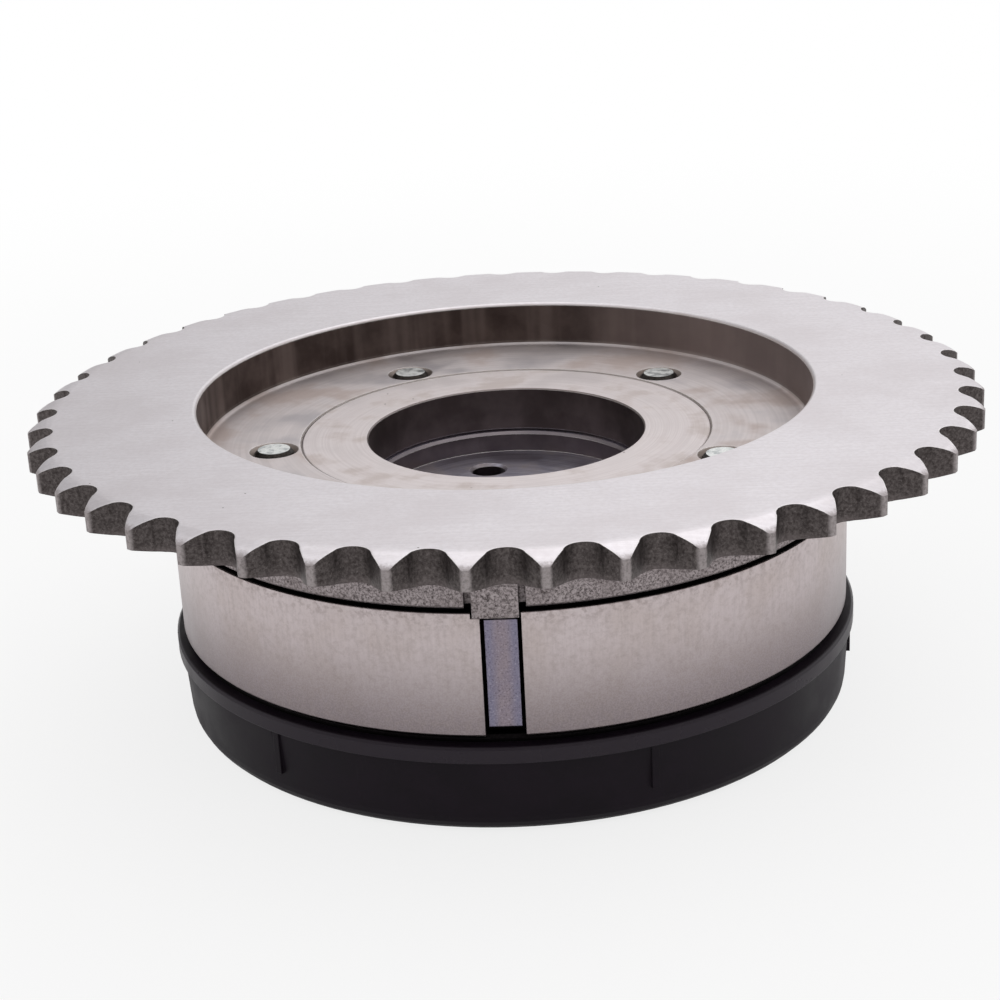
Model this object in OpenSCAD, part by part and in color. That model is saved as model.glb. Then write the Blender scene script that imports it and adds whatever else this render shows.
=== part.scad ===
// Hydraulic cam phaser: a chain wheel and a vane housing bolted together around a vane rotor,
// with a spiral return spring under a plastic cover.
// Millimetres, +Z along the camshaft axis, origin at the centre of the cover's resting face.
// The key slot of the housing faces -Y.

/* [Chain wheel] */
// Number of teeth
tooth_count = 46; // [42:2:52]
// Pitch of the chain
chain_pitch = 9.525; // [9:0.025:10]
// Diameter of the chain's rollers
roller_d = 5.08; // [4.6:0.02:5.4]
// Height of a tooth above its root
tooth_h = 3.95; // [3.4:0.05:4.4]
// Width of a tooth's crest
crest_w = 0.9; // [0.6:0.1:1.2]
// Radius of the round at the foot of a tooth gap
gap_r = 2.7; // [2.5:0.1:2.9]
// Lean of a flank where it leaves that round, degrees
flank_lean = 32; // [26:1:34]
// How far the upper side falls away at the crest
crest_drop = 1.35; // [0.5:0.05:2]
// How far the lower side rises at the crest
crest_rise = 0.7; // [0.3:0.1:1.4]
// Width of the slope on the lower side
crest_rise_w = 3.4; // [1.5:0.1:4]
// Flat part of a tooth's upper side, above its root
tooth_flat = 0.3; // [0.2:0.1:0.8]
// Thickness of the toothed ring
ring_t = 4.8; // [4.5:0.1:6.5]
// Direction of one tooth gap, degrees
gap_phase = -88.5; // [-92:0.1:-85]

/* [Hub and recess] */
// Outside radius of the hub flange and of the housing
body_r = 51.5; // [50.5:0.1:53]
// Height of the chain wheel from the housing to its top face
hub_h = 15.55; // [14.5:0.05:17]
// Wall between the recess in the top face and the outside of the flange
recess_wall = 5.1; // [4:0.1:6]
// Depth of the recess
recess_depth = 7.3; // [5.5:0.1:8]
// Fillet at the foot of the recess wall
recess_fillet = 0.9; // [0.6:0.1:2.5]
// Fillet between the flange and the toothed ring
flange_fillet = 1.2; // [0.5:0.1:2]
// Distance from the bolt circle in to the web's bore, in which the pilot ring runs
web_margin = 4.2; // [4.1:0.1:4.6]
// Height of the groove between flange and housing
groove_h = 0.6; // [0.3:0.1:1]
// Depth of the groove between flange and housing
groove_depth = 1.3; // [0.8:0.1:1.8]
// Edge break on turned edges
edge_break = 0.4; // [0.2:0.1:0.5]

/* [Key tab and slot] */
// Width of the tab on the hub flange
tab_w = 6.2; // [5.5:0.1:7]
// How far the tab hangs below the flange's seat
tab_drop = 0.7; // [0.4:0.1:2.5]
// Turn of the tab against the slot, degrees
tab_turn = -0.7; // [-1.2:0.1:0]
// Width of the notches beside the tab
tab_notch_w = 1; // [0.4:0.1:1.2]
// Depth of those notches
tab_notch_d = 2; // [1.5:0.1:2.4]
// Room of the tab in the housing, each side
tab_room = 0.25; // [0.1:0.05:0.5]
// Width of the housing's slot
slot_w = 5.5; // [5:0.1:6.5]
// Depth of the housing's slot
slot_depth = 2.6; // [2:0.1:3.5]
// Gap beside the bar in the slot
key_gap = 0.55; // [0.3:0.05:0.8]
// How far the bar's face lies below the housing's surface
key_sink = 0.5; // [0.2:0.1:1]
// How far the bar's foot stays above the housing's lower face
key_foot = 1.2; // [0.4:0.1:2]

/* [Housing and rotor] */
// Height of the housing
housing_h = 18.1; // [16:0.1:22]
// Thickness of the housing's wall round the chambers
housing_wall = 7; // [6:0.1:8]
// Number of vanes, lobes and bolts
vane_count = 5; // [5:1:5]
// Height of the chambers, from the rotor's hub out to the housing's wall
chamber_h = 18.5; // [18:0.1:19]
// Width of a lobe, degrees
lobe_deg = 24; // [22:0.5:26]
// Width of a plain vane, degrees
vane_deg = 15; // [13:0.5:17]
// Width of the vane with the lock pin, degrees
lock_vane_deg = 20; // [19:0.5:21]
// Clearance between vane and lobe at rest, degrees
stop_gap_deg = 1; // [0.5:0.1:1.5]
// Travel of the rotor, degrees
phase_travel = 25; // [20:1:25]
// Thickness of the tip seals
seal_w = 2.5; // [2:0.1:3]
// Height of the tip seals
seal_h = 3.4; // [3:0.1:3.6]
// Room for the leaf spring behind a seal
leaf_room = 0.9; // [0.7:0.1:1]
// Thickness of the leaf springs
leaf_t = 0.25; // [0.2:0.05:0.35]
// Length of a leaf spring, as a share of its seal
leaf_share = 0.8; // [0.6:0.05:0.9]

/* [Camshaft seat] */
// How much wider the pilot ring's bore is than the seat's
pilot_step = 0.7; // [0.4:0.1:1.2]
// How far the pilot ring's face lies below the recess floor
pilot_sink = 0.15; // [0.1:0.05:2]
// Depth of the seat below the pilot ring's joint
seat_depth = 3.25; // [2.5:0.05:5]
// Step from the rotor's hub in to the collar that centres the pilot ring
collar_step = 2; // [1:0.1:3]
// Wall of that collar
collar_wall = 3.6; // [3:0.1:4.2]
// Height of that collar
collar_h = 0.95; // [0.4:0.05:1]
// Radius of the dowel hole
dowel_r = 2.65; // [2:0.05:3]
// Distance of the dowel hole from the axis
dowel_at = 12.1; // [11.5:0.1:14]
// Direction of the dowel hole, degrees
dowel_dir = 107; // [90:1:120]
// Depth of the dowel hole
dowel_depth = 8; // [5:0.5:10]
// Radius of the centre bolt's hole
bolt_bore_r = 6.5; // [5:0.1:7]
// Radius of the counterbore for the centre bolt's head
head_bore_r = 11; // [10:0.1:12]
// Depth of that counterbore
head_bore_depth = 9; // [6:0.5:11]
// Radius of the oil ports in the rotor
oil_port_r = 1.5; // [1:0.1:1.6]
// Angle between the side of the lock vane and an oil port, degrees
oil_port_deg = 4; // [4:0.1:5]
// Height of the lower oil ports above the rotor's foot
oil_low = 4.7; // [3:0.1:5]
// Height of the upper oil ports above the rotor's foot
oil_high = 8.4; // [8:0.1:11]

/* [Front cover and bolts] */
// Thickness of the front cover
cover_t = 4.6; // [4.2:0.1:6]
// Thickness of the front cover's outer flange
cover_flange_t = 2.6; // [2:0.1:3.2]
// Radius of the rotor's front hub
front_hub_r = 16.5; // [15.5:0.1:17]
// Distance from the housing's outside in to the bolt circle
bolt_inset = 16.1; // [15.7:0.1:16.4]
// Direction of one bolt, degrees
bolt_phase = 46.2; // [44:0.1:48]
// Radius of the bolts' shanks
bolt_r = 2.95; // [2.5:0.05:3]
// Radius of the countersinks in the recess floor
sink_r = 3.75; // [3.3:0.05:3.8]
// How far the bolts' ends stand above the recess floor
bolt_proud = 0.25; // [0:0.05:0.5]
// Radius of the bolts' heads
bolt_head_r = 5; // [4.5:0.1:5.3]
// Height of the bolts' heads
bolt_head_h = 4; // [3:0.1:5]
// Width across flats of the bolts' sockets
socket_af = 5; // [4:0.5:5]
// Depth of the bolts' sockets
socket_depth = 2.4; // [1.8:0.1:2.8]
// Chamfer at the bolts' ends
bolt_chamfer = 0.5; // [0.3:0.1:1]

/* [Lock] */
// Distance from the housing's outside in to the lock pin
lock_inset = 15.4; // [15.1:0.1:15.5]
// Radius of the lock pin
lock_pin_r = 3.2; // [3:0.1:3.4]
// Length of the lock pin
lock_pin_l = 12; // [11:0.5:13]
// Radius of the lock pin's nose
lock_nose_r = 2.6; // [2.2:0.1:2.7]
// Travel of the lock pin
lock_travel = 3; // [2:0.1:3.2]
// Outside radius of the lock bushes
lock_bush_r = 4.3; // [3.8:0.1:4.3]
// Room above the lock pin in its bush
lock_room = 1; // [0.5:0.1:2]
// Wall of the lock pin round its spring
lock_wall = 1.1; // [0.9:0.1:1.3]
// Solid length of the lock pin below its nose
lock_crown = 3; // [2:0.1:4]
// Radius of the wire of the lock pin's spring
lock_wire_r = 0.35; // [0.25:0.05:0.4]

/* [Return spring] */
// Thickness of the spring strip
strip_t = 1.2; // [0.8:0.1:1.4]
// Height of the spring strip
strip_h = 6.2; // [4:0.1:6.4]
// Turns of the spring
strip_turns = 3; // [2:0.5:3]
// Room between the outer turn and the bolts' heads
strip_room = 2.5; // [2:0.1:4]
// Radius of the spring's post
post_r = 2; // [1.5:0.1:2.2]

/* [Plastic cover] */
// Height of the cover, rim included
cap_h = 13.8; // [13:0.1:16]
// Height of the rim
rim_h = 2.4; // [2.2:0.1:3.5]
// Thickness of the rim's wall
rim_wall = 1.9; // [1.5:0.1:2.4]
// How far the rim stands proud of the housing
rim_proud = 1.15; // [0.5:0.05:1.5]
// How far the cover below its rim stands proud of the housing
cap_proud = 0.5; // [0:0.05:0.8]
// Draft of the cover's wall over its height
cap_draft = 0.5; // [0:0.1:0.8]
// Thickness of the cover's wall and floor
cap_wall = 1.8; // [1.4:0.1:2.2]
// Fillet at the cover's foot
cap_fillet = 2.7; // [0.6:0.1:3]
// Gap between the rim and the housing
rim_gap = 0.95; // [0.6:0.05:1.8]
// Room round the rotor's front hub in the cover's opening
cap_room = 1.5; // [1:0.1:3]
// Number of ribs under the rim
rib_count = 6; // [3:1:6]
// Width of a rib
rib_w = 1.1; // [0.8:0.1:2]
// Length of a rib
rib_l = 6.7; // [4:0.1:8]
// How far a rib stands proud at its upper end
rib_proud = 0.2; // [0.1:0.05:1.2]
// Direction of one rib, degrees
rib_phase = -129; // [-135:0.5:-120]
// Angle between ribs, degrees
rib_pitch = 61.5; // [58:0.5:64]

/* [Fits] */
// Running clearance of turning fits, radial and axial
run_gap = 0.05; // [0.03:0.01:0.08]
// Clearance of pieces that sit fast in each other
seat_gap = 0.02; // [0.01:0.01:0.05]
// Clearance of loose pieces
loose_gap = 0.3; // [0.2:0.05:0.35]

/* [Hidden] */
$fn = 96;

// Overlap of a cutter beyond the face that it opens
over = 1;
slot_dir = -90;
tab_dir = slot_dir + tab_turn;
vane_step = 360 / vane_count;

// Heights, from the resting face up
rim_bottom_z = cap_h - rim_h;
housing_z = cap_h + rim_gap;
cover_flange_z = housing_z - cover_flange_t;
cover_z = housing_z - cover_t;
seat_plane_z = housing_z + housing_h;
top_z = seat_plane_z + hub_h;
ring_z = top_z - ring_t;
recess_z = top_z - recess_depth;
pilot_top_z = recess_z - pilot_sink;
rotor_z = housing_z + run_gap;
rotor_top_z = seat_plane_z - run_gap;
collar_z = rotor_top_z + collar_h;
seat_z = collar_z - seat_depth;
front_hub_z = cap_wall + loose_gap;

// Tooth form: a round foot that takes the roller, and convex flanks that run out to the crest
pitch_r = chain_pitch / (2 * sin(180 / tooth_count));
root_r = pitch_r - roller_d / 2;
tip_r = root_r + tooth_h;
gap_centre = [root_r + gap_r, 0];
crest = polar(tip_r, 180 / tooth_count - asin(crest_w / 2 / tip_r));
crest_from_gap = crest - gap_centre;
flank_dir = [-sin(flank_lean), cos(flank_lean)];
crest_reach = crest_from_gap * flank_dir;
flank_r = (crest_from_gap * crest_from_gap + gap_r * gap_r - 2 * gap_r * crest_reach)
          / (2 * (crest_reach - gap_r));
flank_centre = gap_centre + (gap_r + flank_r) * flank_dir;
crest_from_flank = crest - flank_centre;
flank_a0 = flank_lean - 90;
flank_a1 = atan2(crest_from_flank[1], crest_from_flank[0]);
// A flank starts inside the round and runs on past the crest, so that no vertex lies on either
flank_lap = 0.1;
flank_lap_deg = 3;
flank_steps = 3;
flank_run_on = 1.3;
crest_round_w = tooth_h - tooth_flat;
crest_round_r = (crest_round_w ^ 2 + crest_drop ^ 2) / (2 * crest_drop);
crest_round_deg = asin(crest_round_w / crest_round_r);

// Radii that follow from the outside radius of the housing
recess_r = body_r - recess_wall;
bolt_at = body_r - bolt_inset;
web_bore_r = bolt_at - web_margin;
chamber_r = body_r - housing_wall;
rotor_hub_r = chamber_r - chamber_h;
collar_r = rotor_hub_r - collar_step;
seat_r = collar_r - collar_wall;
pilot_bore_r = seat_r + pilot_step;

// Vanes, lobes and their seals
lobe_tip_r = rotor_hub_r + run_gap;
vane_tip_r = chamber_r - run_gap;
lock_dir = bolt_phase + lobe_deg / 2 + stop_gap_deg + lock_vane_deg / 2;
seal_slot_depth = seal_h + leaf_room;
seal_l = housing_h - 4 * run_gap;
leaf_l = seal_l * leaf_share;
leaf_rise = leaf_room - leaf_t - 2 * seat_gap;

// Lock
lock_at = body_r - lock_inset;
lock_bore_r = lock_pin_r + run_gap;
lock_nose_l = lock_travel + loose_gap;
lock_pin_top_z = rotor_top_z - run_gap;
lock_pin_z = lock_pin_top_z - lock_pin_l;
lock_bore_z = lock_pin_z - lock_travel;
lock_hole_r = lock_nose_r + loose_gap;
lock_bush_h = lock_travel + lock_room;
lock_pocket_r = lock_pin_r - lock_wall;
lock_pocket_l = lock_pin_l - lock_nose_l - lock_crown;
lock_spring_r = lock_pocket_r - 2 * lock_wire_r;
lock_spring_turns = 6;

// Return spring
strip_z = cover_z - loose_gap - strip_h;
strip_r0 = front_hub_r + 2 * loose_gap + strip_t / 2;
strip_r1 = bolt_at - bolt_head_r - strip_room - strip_t / 2;
strip_pitch = (strip_r1 - strip_r0) / strip_turns;
hook_r = post_r + loose_gap;
post_at = strip_r1 + strip_t / 2 + hook_r;
post_dir = bolt_phase + vane_step / 2;
strip_steps = 24;
tang_depth = 2.5;
tang_dir = post_dir - 360 * strip_turns;

// Plastic cover
rim_r = body_r + rim_proud;
rim_bore_r = rim_r - rim_wall;
cover_r = rim_bore_r - seat_gap;
cap_r = body_r + cap_proud;
cap_foot_r = cap_r - cap_draft;
cap_bore_r = cap_foot_r - cap_wall;
cap_opening_r = front_hub_r + cap_room;
cover_boss_r = cap_bore_r - loose_gap;

function polar(r, a) = [r * cos(a), r * sin(a)];
function arc(centre, r, a0, a1, steps) =
    [for (i = [0:steps]) centre + polar(r, a0 + (a1 - a0) * i / steps)];
function mirror_y(points) = [for (i = [len(points) - 1:-1:0]) [points[i][0], -points[i][1]]];

// A wedge of the given width, in degrees, round the X axis
module wedge(width, r, z, h) {
    reach = r / cos(width / 2);
    translate([0, 0, z])
        linear_extrude(h)
            polygon([[0, 0], polar(reach, -width / 2), polar(reach, width / 2)]);
}

// A tube piece between two radii
module ring(r_out, r_in, z, h) {
    difference() {
        translate([0, 0, z]) cylinder(r = r_out, h = h);
        translate([0, 0, z - over]) cylinder(r = r_in, h = h + 2 * over);
    }
}

// A block that runs outwards from a radius, centred on the X axis
module radial_block(r_in, r_out, width, z, h) {
    translate([r_in, -width / 2, z]) cube([r_out - r_in, width, h]);
}

// The gap between two teeth, on the X axis
module tooth_gap() {
    inside = gap_centre + polar(gap_r - flank_lap, 90 + flank_lean + flank_lap_deg);
    flank_end = flank_a0 + (flank_a1 - flank_a0) * flank_run_on;
    flank = arc(flank_centre, flank_r, flank_a0, flank_end, flank_steps);
    side = concat([inside], [for (i = [1:flank_steps]) flank[i]]);
    translate([0, 0, ring_z - over]) {
        translate([gap_centre[0], 0, 0]) cylinder(r = gap_r, h = ring_t + 2 * over, $fn = 48);
        linear_extrude(ring_t + 2 * over) polygon(concat(side, mirror_y(side)));
    }
}

// Half section of the chain wheel: web, flange, toothed ring and recess
module sprocket_section() {
    groove_r = body_r - groove_depth;
    flange_z = seat_plane_z + groove_h;
    polygon(concat(
        [[web_bore_r + edge_break, seat_plane_z],
         [groove_r, seat_plane_z],
         [groove_r, flange_z],
         [body_r - edge_break, flange_z],
         [body_r, flange_z + edge_break]],
        arc([body_r + flange_fillet, ring_z - flange_fillet], flange_fillet, 180, 90, 4),
        [[tip_r - crest_rise_w, ring_z],
         [tip_r, ring_z + crest_rise]],
        arc([tip_r - crest_round_w, top_z - crest_round_r], crest_round_r, 90 - crest_round_deg, 90, 5),
        [[recess_r + edge_break, top_z],
         [recess_r, top_z - edge_break]],
        arc([recess_r - recess_fillet, recess_z + recess_fillet], recess_fillet, 0, -90, 5),
        [[web_bore_r + edge_break / 2, recess_z],
         [web_bore_r, recess_z - edge_break / 2],
         [web_bore_r, seat_plane_z + edge_break]]));
}

module sprocket() {
    hole_r = bolt_r + seat_gap;
    notch_at = (tab_w + tab_notch_w) / 2;
    color("gray")
    difference() {
        union() {
            rotate_extrude($fn = 192) sprocket_section();
            intersection() {
                rotate(tab_dir)
                    radial_block(body_r - slot_depth + seat_gap, body_r + over, tab_w,
                                 seat_plane_z - tab_drop, hub_h - ring_t + tab_drop);
                cylinder(r = body_r, h = top_z, $fn = 192);
            }
        }
        for (i = [0:tooth_count - 1])
            rotate(gap_phase + i * 360 / tooth_count) tooth_gap();
        for (i = [0:vane_count - 1])
            rotate(bolt_phase + i * vane_step) translate([bolt_at, 0, 0]) {
                translate([0, 0, seat_plane_z - over]) cylinder(r = hole_r, h = hub_h);
                translate([0, 0, recess_z - sink_r + hole_r])
                    cylinder(r1 = hole_r, r2 = sink_r + over, h = sink_r - hole_r + over);
            }
        for (side = [-1, 1])
            rotate(tab_dir)
                translate([0, side * notch_at, 0])
                    radial_block(body_r - tab_notch_d, body_r + over, tab_notch_w,
                                 seat_plane_z - over, hub_h - ring_t + over);
        for (turn = [0, phase_travel])
            rotate(lock_dir + turn) translate([lock_at, 0, seat_plane_z - over])
                cylinder(r = lock_bush_r + seat_gap, h = lock_bush_h + over);
    }
}

// The space of one chamber, between two lobes
module chamber() {
    intersection() {
        ring(chamber_r, rotor_hub_r - over, housing_z - over, housing_h + 2 * over);
        wedge(vane_step - lobe_deg, body_r, housing_z - over, housing_h + 2 * over);
    }
}

module stator_housing() {
    color("silver")
    difference() {
        translate([0, 0, housing_z]) {
            cylinder(r1 = body_r - edge_break, r2 = body_r, h = edge_break, $fn = 192);
            translate([0, 0, edge_break]) cylinder(r = body_r, h = housing_h - edge_break, $fn = 192);
        }
        translate([0, 0, housing_z - over]) cylinder(r = lobe_tip_r, h = housing_h + 2 * over);
        for (i = [0:vane_count - 1]) {
            rotate(bolt_phase + (i + 0.5) * vane_step) chamber();
            rotate(bolt_phase + i * vane_step) {
                translate([bolt_at, 0, housing_z - over])
                    cylinder(r = bolt_r + loose_gap, h = housing_h + 2 * over);
                radial_block(lobe_tip_r - over, lobe_tip_r + seal_slot_depth, seal_w + 2 * seat_gap,
                             housing_z - over, housing_h + 2 * over);
            }
        }
        rotate(slot_dir)
            radial_block(body_r - slot_depth, body_r + over, slot_w, housing_z - over, housing_h + 2 * over);
        rotate(tab_dir)
            radial_block(body_r - slot_depth, body_r + over, tab_w + 2 * tab_room,
                         seat_plane_z - tab_drop - seat_gap, tab_drop + over);
    }
}

module slot_key() {
    key_w = slot_w - 2 * key_gap;
    key_l = housing_h - tab_drop - key_foot - edge_break;
    color("slategray")
    rotate(slot_dir)
        translate([body_r - slot_depth, 0, housing_z + key_foot])
            difference() {
                translate([0, -key_w / 2, 0]) cube([slot_depth - key_sink, key_w, key_l]);
                translate([slot_depth - key_sink, 0, 0])
                    rotate([0, 45, 0]) cube([edge_break, key_w + over, edge_break], center = true);
            }
}

module pilot_ring() {
    ring_r = web_bore_r - run_gap;
    foot_z = seat_plane_z + run_gap;
    color("lightgray")
    rotate_extrude($fn = 192)
        polygon([
            [collar_r + seat_gap, foot_z],
            [ring_r - edge_break, foot_z],
            [ring_r, foot_z + edge_break],
            [ring_r, pilot_top_z - edge_break / 2],
            [ring_r - edge_break / 2, pilot_top_z],
            [pilot_bore_r + edge_break / 2, pilot_top_z],
            [pilot_bore_r, pilot_top_z - edge_break / 2],
            [pilot_bore_r, collar_z + edge_break],
            [pilot_bore_r + edge_break, collar_z],
            [collar_r + seat_gap, collar_z]]);
}

// Half section of the rotor's hub: front hub, body, collar and camshaft seat
module rotor_section() {
    head_z = front_hub_z + head_bore_depth;
    polygon([
        [head_bore_r, front_hub_z],
        [front_hub_r - edge_break, front_hub_z],
        [front_hub_r, front_hub_z + edge_break],
        [front_hub_r, rotor_z],
        [rotor_hub_r, rotor_z],
        [rotor_hub_r, rotor_top_z],
        [collar_r, rotor_top_z],
        [collar_r, collar_z],
        [seat_r + edge_break, collar_z],
        [seat_r, collar_z - edge_break],
        [seat_r, seat_z],
        [bolt_bore_r, seat_z],
        [bolt_bore_r, head_z],
        [head_bore_r, head_z]]);
}

// One vane with its seal slot, on the X axis
module vane(width) {
    difference() {
        intersection() {
            ring(vane_tip_r, rotor_hub_r - over, rotor_z, rotor_top_z - rotor_z);
            wedge(width, body_r, rotor_z - over, housing_h + 2 * over);
        }
        radial_block(vane_tip_r - seal_slot_depth, body_r, seal_w + 2 * seat_gap,
                     rotor_z - over, housing_h + 2 * over);
    }
}

module rotor() {
    color("darkgray")
    difference() {
        union() {
            rotate(lock_dir + vane_step / 2) rotate_extrude($fn = 192) rotor_section();
            rotate(lock_dir) vane(lock_vane_deg);
            for (i = [1:vane_count - 1])
                rotate(lock_dir + i * vane_step) vane(vane_deg);
        }
        rotate(dowel_dir) translate([dowel_at, 0, seat_z - dowel_depth]) {
            cylinder(r = dowel_r, h = dowel_depth + over);
            translate([0, 0, dowel_depth - edge_break])
                cylinder(r1 = dowel_r, r2 = dowel_r + edge_break + over, h = edge_break + over);
        }
        rotate(lock_dir) translate([lock_at, 0, 0]) {
            translate([0, 0, lock_bore_z]) cylinder(r = lock_bore_r, h = housing_h);
            translate([0, 0, housing_z - over]) cylinder(r = oil_port_r, h = housing_h);
        }
        rotate(tang_dir)
            radial_block(front_hub_r - tang_depth - loose_gap, front_hub_r + over,
                         strip_t + 2 * loose_gap, front_hub_z - over, cover_z - front_hub_z + over);
        for (i = [0:vane_count - 1], side = [-1, 1])
            rotate(lock_dir + i * vane_step + side * (lock_vane_deg / 2 + oil_port_deg))
                translate([0, 0, rotor_z + (side < 0 ? oil_low : oil_high)])
                    rotate([0, 90, 0]) cylinder(r = oil_port_r, h = rotor_hub_r + over, $fn = 32);
    }
}

module front_cover() {
    color("dimgray")
    difference() {
        rotate_extrude($fn = 192)
            polygon([
                [front_hub_r + run_gap, cover_z],
                [cover_boss_r, cover_z],
                [cover_boss_r, cover_flange_z],
                [cover_r, cover_flange_z],
                [cover_r, housing_z - edge_break],
                [cover_r - edge_break, housing_z],
                [front_hub_r + run_gap, housing_z]]);
        for (i = [0:vane_count - 1])
            rotate(bolt_phase + i * vane_step) translate([bolt_at, 0, cover_z - over])
                cylinder(r = bolt_r + loose_gap, h = cover_t + 2 * over);
        rotate(post_dir) translate([post_at, 0, cover_z - over])
            cylinder(r = post_r + seat_gap, h = cover_t / 2 + over);
    }
}

module cover_bolts() {
    shank_top_z = recess_z + bolt_proud;
    color("gainsboro")
    for (i = [0:vane_count - 1])
        rotate(bolt_phase + i * vane_step) translate([bolt_at, 0, 0])
            difference() {
                rotate_extrude()
                    polygon([
                        [0, cover_z - bolt_head_h],
                        [bolt_head_r - edge_break, cover_z - bolt_head_h],
                        [bolt_head_r, cover_z - bolt_head_h + edge_break],
                        [bolt_head_r, cover_z],
                        [bolt_r, cover_z],
                        [bolt_r, shank_top_z - bolt_chamfer],
                        [bolt_r - bolt_chamfer, shank_top_z],
                        [0, shank_top_z]]);
                translate([0, 0, cover_z - bolt_head_h - over])
                    cylinder(d = socket_af / cos(30), h = socket_depth + over, $fn = 6);
            }
}

module spring_cover() {
    floor_edge = cap_foot_r - cap_fillet;
    color("#1c1c1e") {
        rotate_extrude($fn = 192)
            polygon(concat(
                [[cap_opening_r, 0]],
                arc([floor_edge, cap_fillet], cap_fillet, -90, 0, 5),
                [[cap_r, rim_bottom_z],
                 [rim_r, rim_bottom_z],
                 [rim_r, cap_h - edge_break],
                 [rim_r - edge_break, cap_h],
                 [rim_bore_r, cap_h],
                 [rim_bore_r, cover_flange_z],
                 [cap_bore_r, cover_flange_z],
                 [cap_bore_r, cap_wall],
                 [cap_opening_r, cap_wall]]));
        for (i = [0:rib_count - 1])
            rotate(rib_phase + i * rib_pitch)
                radial_block(cap_bore_r + cap_wall / 2, cap_r + rib_proud, rib_w,
                             rim_bottom_z - rib_l, rib_l);
    }
}

module lock_pin() {
    shoulder_z = lock_pin_top_z - lock_nose_l;
    color("lightsteelblue")
    rotate(lock_dir) translate([lock_at, 0, 0])
        rotate_extrude()
            polygon([
                [lock_pocket_r, lock_pin_z],
                [lock_pin_r, lock_pin_z],
                [lock_pin_r, shoulder_z],
                [lock_nose_r, shoulder_z],
                [lock_nose_r, lock_pin_top_z - edge_break],
                [lock_nose_r - edge_break, lock_pin_top_z],
                [0, lock_pin_top_z],
                [0, lock_pin_z + lock_pocket_l],
                [lock_pocket_r, lock_pin_z + lock_pocket_l]]);
}

module lock_pin_spring() {
    z0 = lock_bore_z + lock_wire_r + seat_gap;
    z1 = lock_pin_z + lock_pocket_l - lock_wire_r - seat_gap;
    around = 12;
    sides = 6;
    steps = lock_spring_turns * around;
    rings = [for (i = [0:steps])
        let (a = i * 360 / around, z = z0 + (z1 - z0) * i / steps)
        [for (k = [0:sides - 1])
            let (b = k * 360 / sides, r = lock_spring_r + lock_wire_r * cos(b))
            [r * cos(a), r * sin(a), z + lock_wire_r * sin(b)]]];
    points = [for (ring_points = rings, p = ring_points) p];
    walls = [for (i = [0:steps - 1], k = [0:sides - 1])
        let (n = (k + 1) % sides)
        [i * sides + k, i * sides + n, (i + 1) * sides + n, (i + 1) * sides + k]];
    ends = [[for (k = [sides - 1:-1:0]) k], [for (k = [0:sides - 1]) steps * sides + k]];
    color("steelblue")
    rotate(lock_dir) translate([lock_at, 0, 0])
        polyhedron(points, [for (f = concat(walls, ends)) [for (j = [len(f) - 1:-1:0]) f[j]]]);
}

module lock_bush(turn) {
    color("slategray")
    rotate(lock_dir + turn) translate([lock_at, 0, 0])
        ring(lock_bush_r, lock_hole_r, seat_plane_z, lock_bush_h);
}

module bias_spring() {
    steps = strip_steps * strip_turns;
    outer = [for (i = [0:steps])
        polar(strip_r0 + strip_t / 2 + strip_pitch * i / strip_steps, tang_dir + i * 360 / strip_steps)];
    inner = [for (i = [steps:-1:0])
        polar(strip_r0 - strip_t / 2 + strip_pitch * i / strip_steps, tang_dir + i * 360 / strip_steps)];
    color("slategray")
    translate([0, 0, strip_z])
        linear_extrude(strip_h) {
            polygon(concat(outer, inner));
            rotate(tang_dir)
                translate([front_hub_r - tang_depth, -strip_t / 2])
                    square([strip_r0 - front_hub_r + tang_depth, strip_t]);
            rotate(post_dir)
                translate([post_at, 0])
                    difference() {
                        circle(r = hook_r + strip_t);
                        circle(r = hook_r);
                        translate([0, -2 * hook_r - strip_t]) square(2 * hook_r + strip_t);
                    }
        }
}

module spring_post() {
    color("gainsboro")
    rotate(post_dir) translate([post_at, 0, strip_z])
        cylinder(r = post_r, h = strip_h + loose_gap + cover_t / 2);
}

// A seal strip in a vane, its rubbing edge on the tip circle
module vane_seal(i) {
    color("black")
    rotate(lock_dir + (i - 1) * vane_step)
        intersection() {
            radial_block(vane_tip_r - seal_h, body_r, seal_w, rotor_z + run_gap, seal_l);
            translate([0, 0, housing_z]) cylinder(r = vane_tip_r, h = housing_h, $fn = 192);
        }
}

// A seal strip in a lobe, its rubbing edge on the rotor's hub
module lobe_seal(i) {
    color("black")
    rotate(bolt_phase + (i - 1) * vane_step)
        difference() {
            radial_block(rotor_hub_r - over, lobe_tip_r + seal_h, seal_w, rotor_z + run_gap, seal_l);
            translate([0, 0, housing_z]) cylinder(r = lobe_tip_r, h = housing_h, $fn = 192);
        }
}

// A bowed leaf that stands in the slot behind a seal; rise points along +X
module leaf_spring() {
    bow_r = (leaf_l * leaf_l / 4 + leaf_rise * leaf_rise) / (2 * leaf_rise);
    width = seal_w - 4 * seat_gap;
    intersection() {
        translate([leaf_rise - bow_r, 0, 0])
            rotate([90, 0, 0])
                difference() {
                    cylinder(r = bow_r + leaf_t, h = width, center = true, $fn = 192);
                    cylinder(r = bow_r, h = width + over, center = true, $fn = 192);
                }
        translate([0, -width, -leaf_l / 2]) cube([leaf_room, 2 * width, leaf_l]);
    }
}

module vane_spring(i) {
    color("silver")
    rotate(lock_dir + (i - 1) * vane_step)
        translate([vane_tip_r - seal_slot_depth + seat_gap, 0, housing_z + housing_h / 2])
            leaf_spring();
}

module lobe_spring(i) {
    color("silver")
    rotate(bolt_phase + (i - 1) * vane_step)
        translate([lobe_tip_r + seal_slot_depth - seat_gap, 0, housing_z + housing_h / 2])
            mirror([1, 0, 0]) leaf_spring();
}

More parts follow.
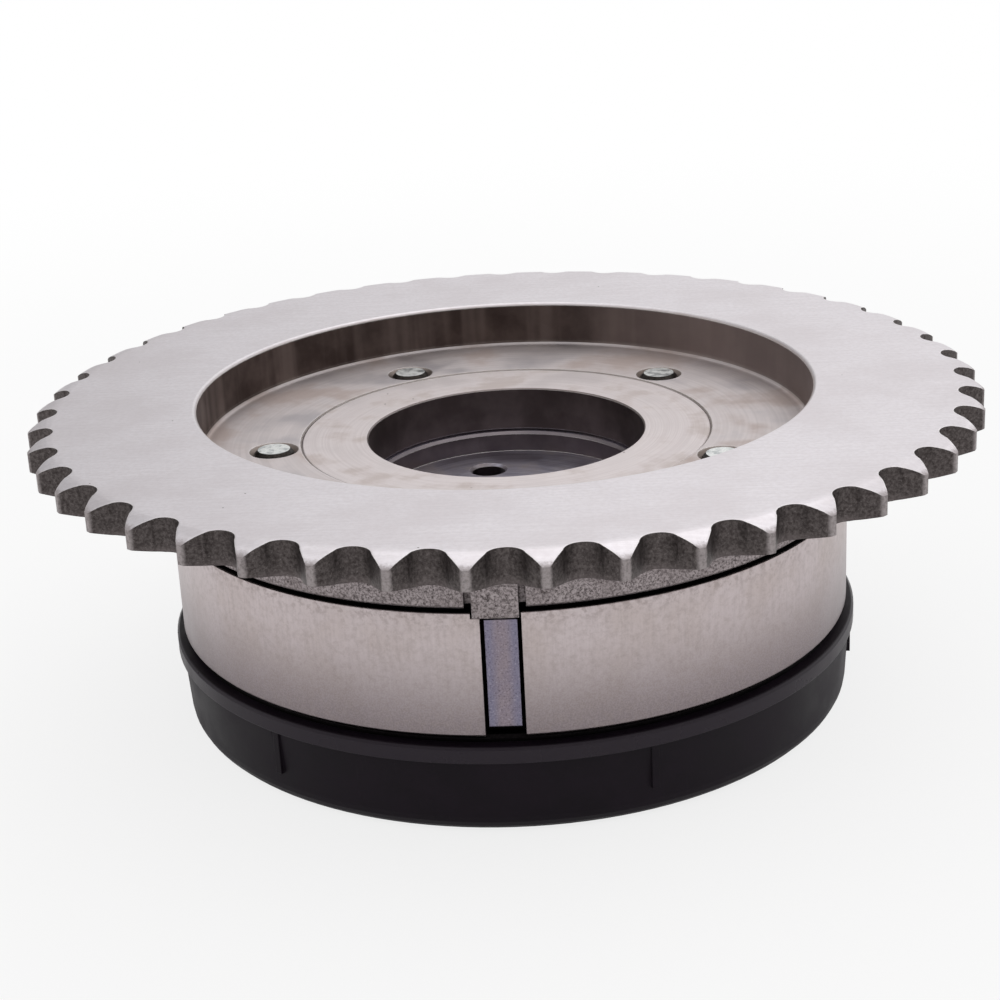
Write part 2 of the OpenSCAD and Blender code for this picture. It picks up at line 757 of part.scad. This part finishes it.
sprocket();
stator_housing();
slot_key();
pilot_ring();
rotor();
front_cover();
cover_bolts();
spring_cover();
lock_pin();
lock_pin_spring();
lock_bush(0);  // lock_bush_start
lock_bush(phase_travel);  // lock_bush_end
bias_spring();
spring_post();
for (i = [1:vane_count]) {
    vane_seal(i);
    vane_spring(i);
    lobe_seal(i);
    lobe_spring(i);
}
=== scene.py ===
"""Cam phaser: materials, springs, camera, floor and light round the CAD frame."""

import math

import bpy
from mathutils import Matrix, Vector


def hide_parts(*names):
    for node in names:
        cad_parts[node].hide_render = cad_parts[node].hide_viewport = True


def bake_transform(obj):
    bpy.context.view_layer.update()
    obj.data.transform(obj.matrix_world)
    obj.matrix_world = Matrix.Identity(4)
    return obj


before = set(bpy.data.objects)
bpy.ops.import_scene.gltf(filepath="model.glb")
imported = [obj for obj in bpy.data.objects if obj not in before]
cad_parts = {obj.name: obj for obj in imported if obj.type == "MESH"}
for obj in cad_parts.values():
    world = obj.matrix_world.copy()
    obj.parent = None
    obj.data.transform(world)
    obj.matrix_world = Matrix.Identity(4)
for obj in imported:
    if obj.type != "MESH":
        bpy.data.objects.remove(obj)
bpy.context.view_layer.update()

MM = 0.001

# Places on the part, in millimetres and degrees, as the source has them
TOP_Z = 48.4  # ground top face
RING_Z = 43.6  # underside of the teeth
RECESS_Z = 41.1  # recess floor
SEAT_PLANE_Z = 32.85  # the wheel's seat on the housing
HOUSING_Z = 14.75  # underside of the housing
RIM_R = 52.65  # rim of the plastic cover
RECESS_R = 46.4  # recess wall
BODY_R = 51.5  # housing and flange
SLOT_DEPTH = 2.6
SLOT_HALF = 2.75
TOOTH_COUNT = 46
GAP_DEG = -88.5  # middle of one tooth gap

# Finishes
TURNED_R = 40.0  # radius at which a turned streak has its stated length, in millimetres
BEVEL_SAMPLES = 4
EDGE_GLINT_AND_WEAR_COS = (0.99, 0.85)  # a face against its rounded edge: where the edge's painted highlight and wear start, and where they are full
SPECK_FULL = 0.8  # part of the share below which a cell has a full speck
SPECK_SOFT = 1.5  # a speck fades out at this many times its reach
# gaps painted black and dull as painted shade: their roughness and specular level
GAP_SHADE_ROUGH = 0.9
GAP_SHADE_SPECULAR = 0.05
PLASTIC_SPECULAR = 0.14

# Sockets of Blender's Mix node that carry colours
MIX_A, MIX_B, MIX_RESULT = 6, 7, 2

# Camera: fitted to the photograph's ellipses, in millimetres, degrees and pixels of a 1000 px frame
FRAME_PX = 1000
FOCAL_PX = 2041.7
CAMERA_DISTANCE = 309.93
CAMERA_ELEVATION = 17.0859
CAMERA_ROLL = 2.8441
CAMERA_TURN = 2.2
TOP_CENTRE_PX = (503.68, 382.99)
SENSOR_MM = 36.0
CLIP_START_M = 0.01

# Floor and room. A ramp is start, end, low and high: over metres from the part on the floor, and
# over a direction's own y or x in the room
FLOOR_HALF_M = 40.0
FLOOR_DROP = 0.05
FLOOR_COLOUR = (0.9, 0.9, 0.9, 1.0)
FLOOR_WHITE = (0.1, 0.45, 0.8, 1.0)
FLOOR_RAYS = {"Is Glossy Ray": 0.5, "Is Transmission Ray": 1.0}
ROOM_DEPTH = (-0.9, 0.5, 0.68, 1.0)
ROOM_SIDE = (-0.5, 0.15, 0.56, 1.0)

# Soft boxes: place and size in metres, power in watts
LIGHT_AIM = Vector((0.0, 0.0, 0.03))
LIGHTS = {
    "overhead": ((0.0, -0.1, 0.75), (1.3, 1.0), 2.0),
    "left": ((-0.75, -0.1, 0.3), (0.8, 0.5), 0.8),
    "right": ((0.66, 0.32, 0.25), (0.8, 0.5), 0.45),
    "back": ((0.05, 0.5, 0.6), (0.5, 0.3), 0.3),
}


def srgb(red, green, blue):
    """A colour as it looks, 0 to 255, as the linear values that a shader takes."""
    return tuple(
        (c / 255 / 12.92) if c <= 10 else ((c / 255 + 0.055) / 1.055) ** 2.4
        for c in (red, green, blue)
    ) + (1.0,)


class Graph:
    """A node tree, emptied first: short calls that add a node and return its output."""

    def __init__(self, tree):
        tree.nodes.clear()
        self.nodes, self.links = tree.nodes, tree.links

    def feed(self, socket, value):
        """Links an output to a socket, or sets the socket to a number or colour."""
        if isinstance(value, bpy.types.NodeSocket):
            self.links.new(value, socket)
        else:
            socket.default_value = value

    def add(self, kind, *values, **settings):
        """A new node with those settings, its first inputs fed in order."""
        node = self.nodes.new("ShaderNode" + kind)
        for name, setting in settings.items():
            setattr(node, name, setting)
        for socket, value in zip(node.inputs, values):
            self.feed(socket, value)
        return node

    def split(self, vector):
        return self.add("SeparateXYZ", vector).outputs[:3]

    def join(self, x, y, z):
        return self.add("CombineXYZ", x, y, z).outputs[0]

    def vector(self, operation, *values, scale=None):
        node = self.add("VectorMath", *values, operation=operation)
        if scale is not None:
            node.inputs["Scale"].default_value = scale
        return node.outputs["Value" if operation in ("LENGTH", "DOT_PRODUCT") else "Vector"]

    def math(self, operation, *values):
        return self.add("Math", *values, operation=operation).outputs[0]

    def both(self, *masks):
        """The product of masks."""
        result = masks[0]
        for mask in masks[1:]:
            result = self.math("MULTIPLY", result, mask)
        return result

    def ramp(self, value, start, end, low=0.0, high=1.0):
        """A smooth step from low to high, as value goes from start to end."""
        step = self.add("MapRange", value, start, end, low, high, interpolation_type="SMOOTHSTEP")
        return step.outputs[0]


class Shader(Graph):
    """One material's graph round a Principled shader, with places on the part in millimetres."""

    def __init__(self, name):
        self.material = bpy.data.materials.new(name)
        self.material.use_nodes = True
        super().__init__(self.material.node_tree)
        self.bsdf = self.add("BsdfPrincipled")
        self.add("OutputMaterial", self.bsdf.outputs[0])
        coords = self.add("TexCoord").outputs
        self.position = self.vector("SCALE", coords["Object"], scale=1 / MM)
        self.x, self.y, self.z = self.split(self.position)
        across = self.join(self.x, self.y, 0.0)
        self.radial = self.vector("NORMALIZE", across)
        self.r = self.vector("LENGTH", across)
        self.facing_up = self.split(coords["Normal"])[2]
        self.facing_out = self.vector("DOT_PRODUCT", coords["Normal"], self.radial)

    def noise(self, size, vector=None, detail=3.0, roughness=0.55):
        """Noise whose grains are about size millimetres."""
        node = self.add("TexNoise", self.position if vector is None else vector)
        node.inputs["Scale"].default_value = 1 / size
        node.inputs["Detail"].default_value = detail
        node.inputs["Roughness"].default_value = roughness
        return node.outputs[0]

    def turned(self, width, length):
        """Streaks that run round the axis on a flat face: width across, length along."""
        x, y, _ = self.split(self.vector("SCALE", self.radial, scale=TURNED_R * width / length))
        return self.noise(width, self.join(x, y, self.r), 2.0, 0.5)

    def straight(self, width, length):
        """Grinding streaks along the X axis on a flat face: width across, length along."""
        x = self.math("MULTIPLY", self.x, width / length)
        return self.noise(width, self.join(x, self.y, 0.0), 3.0, 0.6)

    def drawn(self, width, length):
        """Streaks along the axis on a cylinder: width round it, length along it."""
        x, y, _ = self.split(self.vector("SCALE", self.radial, scale=BODY_R))
        z = self.math("MULTIPLY", self.z, width / length)
        return self.noise(width, self.join(x, y, z), 3.0, 0.6)

    def specks(self, size, share, reach):
        """Round specks in that share of the cells of a grid: 1 on a speck, reach in cells."""
        cells = self.add("TexVoronoi", self.position)
        cells.inputs["Scale"].default_value = 1 / size
        red = self.add("SeparateColor", cells.outputs["Color"]).outputs[0]
        chosen = self.ramp(red, share, share * SPECK_FULL)
        return self.both(chosen, self.ramp(cells.outputs["Distance"], reach * SPECK_SOFT, reach))

    def mix(self, mask, a, b):
        """The colour a, or b where the mask is 1."""
        node = self.add("Mix", mask, data_type="RGBA")
        self.feed(node.inputs[MIX_A], a)
        self.feed(node.inputs[MIX_B], b)
        return node.outputs[MIX_RESULT]

    def tint(self, colour, other, value, start, end, share=1.0):
        """The colour, going over to that share of the other as value goes from start to end."""
        return self.mix(self.ramp(value, start, end, 0.0, share), colour, other)

    def outside(self, mask):
        """1 where the mask is 0."""
        return self.math("SUBTRACT", 1.0, mask)

    def blend(self, mask, a, b):
        """The number a, or b where the mask is 1."""
        return self.math("ADD", self.both(self.outside(mask), a), self.both(mask, b))

    def relief(self, height, strength, depth, edge=0.15):
        """Feeds the shader's normal: edges rounded over edge millimetres, a relief of that depth.

        Returns how much the surface turns there, which is 1 on an edge."""
        bevel = self.add("Bevel", samples=BEVEL_SAMPLES)
        bevel.inputs["Radius"].default_value = edge * MM
        bump = self.add("Bump")
        bump.inputs["Strength"].default_value = strength
        bump.inputs["Distance"].default_value = depth * MM
        self.feed(bump.inputs["Height"], height)
        self.feed(bump.inputs["Normal"], bevel.outputs[0])
        self.feed(self.bsdf.inputs["Normal"], bump.outputs[0])
        # both normals are the world's, so that the painted edge highlight and wear stay on the
        # edges of a body that has turned
        flat = self.add("NewGeometry").outputs["Normal"]
        return self.ramp(self.vector("DOT_PRODUCT", bevel.outputs[0], flat), *EDGE_GLINT_AND_WEAR_COS)

    def finish(self, colour, roughness, metallic=1.0, **sockets):
        """Sets the shader's inputs and returns the material."""
        self.feed(self.bsdf.inputs["Base Color"], colour)
        self.feed(self.bsdf.inputs["Roughness"], roughness)
        self.feed(self.bsdf.inputs["Metallic"], metallic)
        for name, value in sockets.items():
            self.feed(self.bsdf.inputs[name.replace("_", " ")], value)
        return self.material

    def finish_with_painted_gap_shade(self, colour, roughness, gap, black):
        """Finishes the steel, painted black and dull as painted shade where the gap mask is 1."""
        return self.finish(
            self.mix(gap, colour, black),
            self.blend(gap, roughness, GAP_SHADE_ROUGH),
            metallic=self.outside(gap),
            Specular_IOR_Level=GAP_SHADE_SPECULAR,
        )


def flank_colour(s, fine, mottle):
    """Tooth flanks: dark and finely mottled, paler at the foot and on the land of each crest."""
    angle = s.math("SUBTRACT", s.math("ARCTAN2", s.y, s.x), math.radians(GAP_DEG))
    land = s.ramp(s.math("COSINE", s.math("MULTIPLY", angle, TOOTH_COUNT)), -0.86, -0.985)
    colour = s.tint(srgb(66, 60, 59), srgb(110, 103, 102), mottle, 0.3, 0.74)
    colour = s.tint(colour, srgb(158, 150, 149), fine, 0.56, 0.7, 0.45)
    colour = s.tint(colour, srgb(136, 126, 126), s.z, RING_Z + 1.3, RING_Z, 0.3)
    return s.mix(s.both(land, s.ramp(mottle, 0.3, 0.6, 0.55, 1.0)), colour, srgb(168, 160, 160))


def ground_colour(s, streak, patch):
    """Top face: ground and nearly even, with faint straight streaks and a few tiny pores."""
    grain = s.noise(0.7, detail=4.0, roughness=0.65)
    colour = s.tint(srgb(231, 226, 230), srgb(240, 235, 239), streak, 0.3, 0.7)
    colour = s.tint(colour, srgb(222, 215, 218), patch, 0.4, 0.7, 0.6)
    colour = s.tint(colour, srgb(217, 210, 213), grain, 0.36, 0.66, 0.4)
    return s.mix(s.specks(2.2, 0.04, 0.05), colour, srgb(130, 121, 120))


def recess_floor_colour(s, patch):
    """Recess floor: turned, with brownish and greyish patches."""
    colour = s.tint(srgb(212, 204, 204), srgb(221, 213, 213), s.turned(0.5, 30.0), 0.3, 0.7)
    colour = s.tint(colour, srgb(185, 167, 159), patch, 0.47, 0.66, 0.62)
    return s.tint(colour, srgb(178, 174, 180), patch, 0.48, 0.3, 0.5)


def recess_wall_colour(s):
    """Recess wall: painted dark as painted shade, with streaks down it, and painted paler to the
    right as painted light.
    """
    colour = s.tint(srgb(69, 58, 55), srgb(93, 81, 77), s.noise(7.0, detail=4.0), 0.35, 0.7)
    colour = s.tint(colour, srgb(126, 113, 108), s.drawn(7.0, 140.0), 0.45, 0.65, 0.5)
    return s.tint(colour, srgb(144, 131, 128), s.x, 5.0, 32.0, 0.7)


def chain_wheel_material():
    """Sintered steel: ground top face, turned recess, dark tooth flanks and a pitted flange."""
    s = Shader("sintered_wheel")
    fine = s.noise(0.34, detail=5.0, roughness=0.8)
    mottle = s.noise(0.45, detail=4.0, roughness=0.7)
    patch = s.noise(13.0, detail=4.0)
    streak = s.straight(0.3, 14.0)
    # flange, tab and underside as sintered: grey with fine dark pits
    colour = s.tint(srgb(80, 72, 72), srgb(184, 174, 175), fine, 0.34, 0.62)
    colour = s.tint(colour, srgb(116, 106, 105), s.noise(4.0), 0.4, 0.7, 0.3)
    # teeth
    steep = s.ramp(s.math("ABSOLUTE", s.facing_up), 0.4, 0.2)
    flank = s.both(s.ramp(s.r, BODY_R + 3, BODY_R + 4), steep)
    colour = s.mix(flank, colour, flank_colour(s, fine, mottle))
    # rounded crests, and the ground face up to an uneven edge
    up = s.ramp(s.facing_up, 0.25, 0.45)
    crest = s.both(up, s.ramp(s.z, TOP_Z - 2.2, TOP_Z - 2.0))
    colour = s.mix(crest, colour, srgb(176, 168, 169))
    level = s.math("ADD", s.z, s.both(mottle, 0.9))
    ground = s.both(up, s.ramp(level, TOP_Z - 0.9, TOP_Z - 0.2))
    colour = s.mix(ground, colour, ground_colour(s, streak, patch))
    # recess: floor, sunk edges of its holes, and wall
    inside = s.both(
        s.ramp(s.r, RECESS_R + 0.3, RECESS_R), s.ramp(s.z, RECESS_Z - 1.2, RECESS_Z - 1.0)
    )
    colour = s.mix(inside, colour, recess_floor_colour(s, patch))
    # painted shade: the sunk edges of the holes are painted dark brown
    sink = s.both(
        inside, s.ramp(s.facing_up, 0.92, 0.82), s.ramp(s.r, RECESS_R - 5, RECESS_R - 6)
    )
    colour = s.mix(s.both(sink, 0.8), colour, srgb(124, 110, 100))
    # painted shade: the wall's dark colour, and painted light that makes it paler to the right
    wall = s.both(inside, s.ramp(s.facing_out, -0.6, -0.9))
    colour = s.mix(wall, colour, recess_wall_colour(s))
    # machined faces are smoother, and carry a painted highlight, with some wear, along their edges
    smooth = s.math("MAXIMUM", ground, inside)
    rough = s.ramp(fine, 0.3, 0.6, 0.6, 0.48)
    rough = s.blend(smooth, rough, s.ramp(streak, 0.2, 0.8, 0.42, 0.36))
    rough = s.blend(inside, rough, s.ramp(patch, 0.3, 0.7, 0.46, 0.66))
    height = s.math("ADD", s.both(fine, s.outside(smooth)), s.both(streak, ground, 0.06))
    edge_glint_and_wear = s.relief(height, 0.45, 0.1, 0.35)
    colour = s.mix(s.both(edge_glint_and_wear, smooth, 0.9), colour, srgb(252, 249, 248))
    # painted shade: the groove under the flange is painted black and dull
    groove = s.both(
        s.ramp(s.r, BODY_R - 0.15, BODY_R - 0.3),
        s.ramp(s.z, SEAT_PLANE_Z + 0.75, SEAT_PLANE_Z + 0.65),
    )
    return s.finish_with_painted_gap_shade(colour, rough, groove, srgb(10, 9, 9))


def housing_material():
    """Steel cylinder: satin face, painted darker downwards as painted shade, faint streaks along
    the axis and brown specks along the top, with the slot and the seat under the wheel's groove
    painted black as painted shade."""
    s = Shader("housing_steel")
    streak = s.drawn(0.45, 7.0)
    cloud = s.noise(9.0, detail=5.0, roughness=0.6)
    mottle = s.noise(0.9, detail=5.0, roughness=0.7)
    fine = s.noise(0.22, detail=2.0)
    colour = s.tint(srgb(204, 192, 193), srgb(197, 184, 182), cloud, 0.35, 0.7)
    # painted shade: the face is painted darker towards the bottom
    colour = s.tint(colour, srgb(130, 119, 123), s.z, SEAT_PLANE_Z - 3, HOUSING_Z - 2)
    colour = s.tint(colour, srgb(146, 133, 128), mottle, 0.4, 0.68, 0.3)
    colour = s.tint(colour, srgb(150, 139, 138), streak, 0.35, 0.75, 0.2)
    colour = s.tint(colour, srgb(214, 206, 206), fine, 0.35, 0.65, 0.14)
    near_top = s.ramp(s.z, SEAT_PLANE_Z - 2.5, SEAT_PLANE_Z - 0.2)
    brown = s.both(s.ramp(mottle, 0.46, 0.62), near_top, 0.3)
    colour = s.mix(brown, colour, srgb(124, 110, 106))
    inner = s.ramp(s.r, BODY_R - 0.25, BODY_R - 0.4)
    colour = s.mix(inner, colour, srgb(140, 132, 130))
    # painted shade: the slot round the bar and the seat under the wheel's groove are painted black
    # and dull
    slot_floor_r = BODY_R - SLOT_DEPTH
    slot = s.both(
        inner,
        s.ramp(s.r, slot_floor_r - 0.4, slot_floor_r - 0.2),
        s.ramp(s.y, 0.0, -1.0),
        s.ramp(s.math("ABSOLUTE", s.x), SLOT_HALF + 1.2, SLOT_HALF + 1.0),
    )
    seat = s.both(
        inner,
        s.ramp(s.facing_up, 0.8, 0.9),
        s.ramp(s.z, SEAT_PLANE_Z - 0.3, SEAT_PLANE_Z - 0.1),
    )
    satin = s.ramp(streak, 0.2, 0.8, 0.36, 0.32)
    rough = s.math("ADD", satin, s.ramp(cloud, 0.3, 0.7, -0.02, 0.04))
    s.relief(s.math("ADD", s.both(fine, 0.5), s.both(streak, 0.5)), 0.14, 0.05, 0.2)
    return s.finish_with_painted_gap_shade(colour, rough, s.math("MAXIMUM", slot, seat), srgb(12, 10, 10))


def blued_bar_material():
    """Bar in the slot: blued steel, pinkish down the middle, with a fine speckle."""
    s = Shader("blued_bar")
    fine = s.noise(0.28, detail=4.0, roughness=0.75)
    from_middle = s.math("ABSOLUTE", s.x)
    colour = s.tint(srgb(134, 130, 150), srgb(150, 138, 146), from_middle, 1.8, 0.4)
    colour = s.tint(colour, srgb(134, 126, 144), s.noise(3.0), 0.4, 0.7, 0.5)
    colour = s.tint(colour, srgb(192, 186, 198), fine, 0.54, 0.7, 0.5)
    colour = s.tint(colour, srgb(82, 76, 88), fine, 0.46, 0.32, 0.75)
    s.relief(fine, 0.35, 0.08)
    return s.finish(colour, s.ramp(fine, 0.3, 0.7, 0.46, 0.34))


def turned_material(name, bright, dark, bore_bright, bore_dark, rough, bore_rough):
    """Turned steel: fine rings and brownish patches on the faces, and a cloudy bore painted darker
    as painted shade.
    """
    s = Shader(name)
    rings = s.turned(0.22, 30.0)
    patch = s.noise(7.0, detail=4.0)
    colour = s.tint(dark, bright, rings, 0.3, 0.7)
    colour = s.tint(colour, dark, s.turned(2.4, 60.0), 0.4, 0.7, 0.3)
    colour = s.tint(colour, srgb(186, 172, 164), patch, 0.48, 0.68, 0.45)
    colour = s.tint(colour, dark, patch, 0.48, 0.32, 0.4)
    colour = s.mix(s.specks(2.2, 0.04, 0.06), colour, bore_bright)
    # painted shade: the bore is painted darker
    bore = s.ramp(s.facing_out, -0.4, -0.8)
    bore_colour = s.tint(bore_dark, bore_bright, s.noise(6.0, detail=4.0), 0.35, 0.7)
    colour = s.mix(bore, colour, bore_colour)
    edge_glint_and_wear = s.relief(s.math("ADD", rings, s.both(patch, 0.3)), 0.12, 0.04)
    # painted highlight and wear: pale edges
    colour = s.mix(s.both(edge_glint_and_wear, 0.85), colour, srgb(240, 235, 234))
    face_rough = s.ramp(patch, 0.35, 0.65, rough - 0.08, rough + 0.08)
    return s.finish(colour, s.blend(bore, face_rough, bore_rough))


def plain_metal(name, bright, dark, rough_low, rough_high, grain):
    """Steel of the small pieces: fine grain, cloudy tone and rounded edges."""
    s = Shader(name)
    fine = s.noise(grain)
    cloud = s.noise(grain * 9)
    colour = s.tint(dark, bright, fine, 0.3, 0.7)
    colour = s.tint(colour, dark, cloud, 0.4, 0.7, 0.4)
    s.relief(fine, 0.2, 0.05)
    return s.finish(colour, s.ramp(cloud, 0.3, 0.7, rough_low, rough_high))


def bolt_material():
    """Zinc-plated bolts: bright, patchy flat ends and heads, with chamfers and shanks painted dark
    as painted shade.
    """
    s = Shader("zinc_bolt")
    fine = s.noise(0.3, detail=4.0, roughness=0.7)
    patch = s.noise(1.3, detail=4.0, roughness=0.6)
    bright = s.tint(srgb(228, 231, 229), srgb(252, 252, 251), fine, 0.35, 0.65)
    bright = s.tint(bright, srgb(176, 182, 184), patch, 0.45, 0.62, 0.75)
    # painted shade: all but the faces that point up or down are painted dark
    dark = s.tint(srgb(36, 33, 32), srgb(66, 61, 58), fine, 0.35, 0.65)
    colour = s.tint(dark, bright, s.math("ABSOLUTE", s.facing_up), 0.8, 0.95)
    s.relief(fine, 0.25, 0.06)
    return s.finish(colour, s.ramp(patch, 0.3, 0.7, 0.5, 0.3))


def plastic_material(name, dark, bright, rim_sheen_colour, rough_low, rough_high):
    """Moulded plastic: fine spark-eroded grain, faint rub marks, and a rim that is smoother and
    painted lighter as a painted sheen.
    """
    s = Shader(name)
    cloud = s.noise(8.0, detail=4.0)
    rub = s.ramp(s.drawn(0.35, 6.0), 0.64, 0.8)
    rim = s.ramp(s.r, RIM_R - 0.35, RIM_R - 0.25)
    colour = s.tint(dark, bright, cloud, 0.35, 0.7)
    colour = s.mix(s.both(rub, 0.16), colour, srgb(56, 51, 57))
    # painted sheen: the rim is painted lighter
    colour = s.mix(rim, colour, rim_sheen_colour)
    s.relief(s.noise(0.22, detail=2.0), 0.25, 0.04, 0.25)
    rough = s.math("SUBTRACT", s.ramp(cloud, 0.3, 0.7, rough_low, rough_high), s.both(rim, 0.15))
    return s.finish(colour, rough, metallic=0.0, Specular_IOR_Level=PLASTIC_SPECULAR)


def dress():
    """Gives every CAD node its material. Nodes that aren't named here are seals or springs."""
    hard = plain_metal("hard_steel", srgb(186, 186, 190), srgb(138, 137, 138), 0.22, 0.34, 0.3)
    spring = plain_metal("spring_steel", srgb(140, 140, 146), srgb(88, 87, 90), 0.28, 0.42, 0.35)
    seal = plastic_material(
        "seal_polymer", srgb(44, 36, 30), srgb(62, 52, 44), srgb(62, 52, 44), 0.42, 0.55
    )
    materials = {
        "sprocket": chain_wheel_material(),
        "stator_housing": housing_material(),
        "slot_key": blued_bar_material(),
        "pilot_ring": turned_material(
            "pilot_steel",
            bright=srgb(230, 222, 222),
            dark=srgb(220, 211, 211),
            bore_bright=srgb(128, 116, 114),
            bore_dark=srgb(102, 91, 89),
            rough=0.52,
            bore_rough=0.42,
        ),
        "rotor": turned_material(
            "rotor_steel",
            bright=srgb(206, 204, 219),
            dark=srgb(170, 166, 181),
            bore_bright=srgb(120, 110, 110),
            bore_dark=srgb(102, 93, 94),
            rough=0.41,
            bore_rough=0.32,
        ),
        # painted shade: the cover's steel is painted near black, for the narrow gap under the
        # housing where it shows
        "front_cover": plain_metal(
            "cover_steel", srgb(34, 31, 32), srgb(22, 20, 21), 0.4, 0.52, 0.35
        ),
        "cover_bolts": bolt_material(),
        "spring_cover": plastic_material(
            "black_plastic", srgb(21, 14, 22), srgb(28, 20, 29), srgb(51, 45, 52), 0.4, 0.52
        ),
        "lock_pin": hard,
        "lock_bush_start": hard,
        "lock_bush_end": hard,
        "spring_post": plain_metal(
            "zinc_steel", srgb(236, 236, 234), srgb(198, 196, 194), 0.16, 0.3, 0.4
        ),
    }
    for name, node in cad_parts.items():
        node.data.materials.clear()
        node.data.materials.append(materials.get(name, seal if "seal" in name else spring))


def place_in_scene(name, data):
    """A new object with that data, linked to the scene."""
    item = bpy.data.objects.new(name, data)
    bpy.context.scene.collection.objects.link(item)
    return item


def share_spring(name):
    """A spring between two bodies: a copy of its mesh stands in for the CAD node, which is hidden.
    """
    piece = place_in_scene(name + "_turns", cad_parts[name].data.copy())
    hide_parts(name)
    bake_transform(piece)


def share_springs():
    """Copies the bias spring, which winds from post to hub, and the lock spring.

    Comes after dress(), because the copied meshes take their material along."""
    share_spring("bias_spring")
    share_spring("lock_pin_spring")


def make_camera():
    """Camera at the photograph's place: the top face's centre falls on the fitted pixel."""
    elevation, roll = math.radians(CAMERA_ELEVATION), math.radians(CAMERA_ROLL)
    back = Vector((0.0, -math.cos(elevation), math.sin(elevation)))
    right = Vector((1.0, 0.0, 0.0))
    level = Matrix((right, back.cross(right), back))
    half = FRAME_PX / 2
    aim_x, aim_y = (TOP_CENTRE_PX[0] - half) / FOCAL_PX, (half - TOP_CENTRE_PX[1]) / FOCAL_PX
    to_aim = Vector((0.0, 0.0, -1.0)).rotation_difference(Vector((aim_x, aim_y, -1.0)))
    axes = to_aim.to_matrix() @ Matrix.Rotation(roll, 3, "Z") @ level
    turn = Matrix.Rotation(math.radians(CAMERA_TURN), 3, "Z")
    data = bpy.data.cameras.new("camera")
    data.sensor_width = SENSOR_MM
    data.lens = FOCAL_PX / FRAME_PX * SENSOR_MM
    data.clip_start = CLIP_START_M
    camera = place_in_scene("camera", data)
    place = turn @ (back * CAMERA_DISTANCE * MM) + Vector((0.0, 0.0, TOP_Z * MM))
    camera.matrix_world = Matrix.Translation(place) @ (turn @ axes.transposed()).to_4x4()
    bpy.context.scene.camera = camera


def make_floor():
    """A wide pale floor: white to the camera far from the part, with the part's shadow near it."""
    half = FLOOR_HALF_M
    corners = [(-half, -half, 0), (half, -half, 0), (half, half, 0), (-half, half, 0)]
    mesh = bpy.data.meshes.new("floor")
    mesh.from_pydata(corners, [], [(0, 1, 2, 3)])
    floor = place_in_scene("floor", mesh)
    floor.location.z = -FLOOR_DROP * MM
    material = bpy.data.materials.new("floor")
    material.use_nodes = True
    g = Graph(material.node_tree)
    distance = g.vector("LENGTH", g.add("TexCoord").outputs["Object"])
    path = g.add("LightPath")
    seen = path.outputs["Is Camera Ray"]
    for ray, part in FLOOR_RAYS.items():
        seen = g.math("MULTIPLY_ADD", path.outputs[ray], part, seen)
    white = g.both(seen, g.ramp(distance, *FLOOR_WHITE))
    diffuse = g.add("BsdfDiffuse", FLOOR_COLOUR)
    glow = g.add("Emission")
    surface = g.add("MixShader", white, diffuse.outputs[0], glow.outputs[0])
    g.add("OutputMaterial", surface.outputs[0])
    mesh.materials.append(material)


def make_world():
    """Soft studio surroundings: white behind the part, dimmer behind the camera and on the left."""
    world = bpy.data.worlds.new("studio")
    bpy.context.scene.world = world
    world.use_nodes = True
    g = Graph(world.node_tree)
    x, y, _ = g.split(g.add("TexCoord").outputs["Generated"])
    room = g.add("Background")
    g.feed(room.inputs["Strength"], g.both(g.ramp(y, *ROOM_DEPTH), g.ramp(x, *ROOM_SIDE)))
    g.add("OutputWorld", room.outputs[0])


def add_light(name, place, size, power):
    """A soft box that looks at the part."""
    data = bpy.data.lights.new(name, "AREA")
    data.shape = "RECTANGLE"
    data.size, data.size_y = size
    data.energy = power
    light = place_in_scene(name, data)
    light.location = place
    light.rotation_euler = (LIGHT_AIM - Vector(place)).to_track_quat("-Z", "Y").to_euler()


dress()
share_springs()
make_camera()
make_floor()
make_world()
for light_name, (light_place, light_size, light_power) in LIGHTS.items():
    add_light(light_name, light_place, light_size, light_power)
bpy.context.scene.view_settings.view_transform = "Standard"
